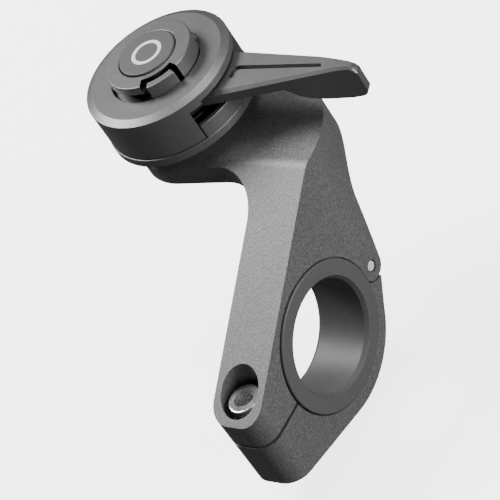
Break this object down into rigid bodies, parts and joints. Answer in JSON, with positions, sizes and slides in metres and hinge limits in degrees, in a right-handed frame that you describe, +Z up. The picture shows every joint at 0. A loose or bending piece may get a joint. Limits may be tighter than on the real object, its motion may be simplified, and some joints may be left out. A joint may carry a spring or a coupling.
{
  "type": "phone mount",
  "caption": "Handlebar phone mount: hinged bar clamp, sloping out-front arm and a round twist-lock head with a lever-operated spring collar.",
  "frame": {"origin": "on the handlebar's axis, half way across the width of the clamp", "axes": "+X along the handlebar, to the side that the finger lever points to; +Y forwards over the bar, from the bolt ear to the head; +Z up, square to the face the phone rests on"},
  "size_m": [0.085, 0.0998, 0.093],
  "materials": {
    "arm_aluminium": "bead-blasted, dark grey anodised",
    "head_aluminium": "fine bead-blasted, dark grey anodised",
    "core_plastic": "black glass-filled nylon",
    "sleeve_plastic": "smooth matte dark grey",
    "stainless_steel": "bright stainless",
    "spring_steel": "drawn wire",
    "washer_plastic": "natural acetal",
    "cap_face": "matte dark grey with a plain white mark"
  },
  "bodies": {
    "arm_body": {"arm": "arm_aluminium", "hinge_pin": "stainless_steel", "hinge_washer_1": "washer_plastic", "hinge_washer_2": "washer_plastic", "bar_sleeve": "sleeve_plastic", "head_core": "core_plastic", "bayonet_boss": "head_aluminium", "boss_cap": "cap_face", "boss_screw": "stainless_steel", "boss_washer": "stainless_steel", "head_nut": "stainless_steel", "return_spring": "spring_steel", "locating_dowel_1": "stainless_steel", "locating_dowel_2": "stainless_steel", "guide_pin_1": "stainless_steel", "guide_pin_2": "stainless_steel", "guide_pin_3": "stainless_steel"},
    "door_body": {"clamp_door": "arm_aluminium", "thread_insert": "stainless_steel"},
    "washer_body": {"bolt_washer": "stainless_steel"},
    "bolt_body": {"clamp_bolt": "stainless_steel"},
    "press_body": {"collar": "head_aluminium", "collar_ring": "head_aluminium", "lever": "head_aluminium", "lever_screw_1": "stainless_steel", "lever_screw_2": "stainless_steel", "lever_screw_3": "stainless_steel", "ring_screw_1": "stainless_steel", "ring_screw_2": "stainless_steel", "ring_screw_3": "stainless_steel"}
  },
  "joints": [
    {"name": "collar_press", "type": "slide", "parent": "arm_body", "child": "press_body", "axis": [0, 0, -1], "range_m": [0, 0.0035], "stiffness_N_per_m": 2000, "springref_m": -0.003, "deforming": ["return_spring"]},
    {"name": "door_hinge", "type": "hinge", "parent": "arm_body", "child": "door_body", "pos_m": [0, 0.0253, -0.0007], "axis": [1, 0, 0], "range_deg": [0, 90]},
    {"name": "bolt_lift", "type": "slide", "parent": "arm_body", "child": "washer_body", "axis": [0, 0, 1], "range_m": [0, 0.008]},
    {"name": "bolt_turn", "type": "hinge", "parent": "washer_body", "child": "bolt_body", "pos_m": [0, -0.0287, 0], "axis": [0, 0, 1], "range_deg": [0, 2880]}
  ],
  "couplings": [
    {"joint": "bolt_turn", "follows": "bolt_lift", "rad_per_m": 6283.2}
  ]
}
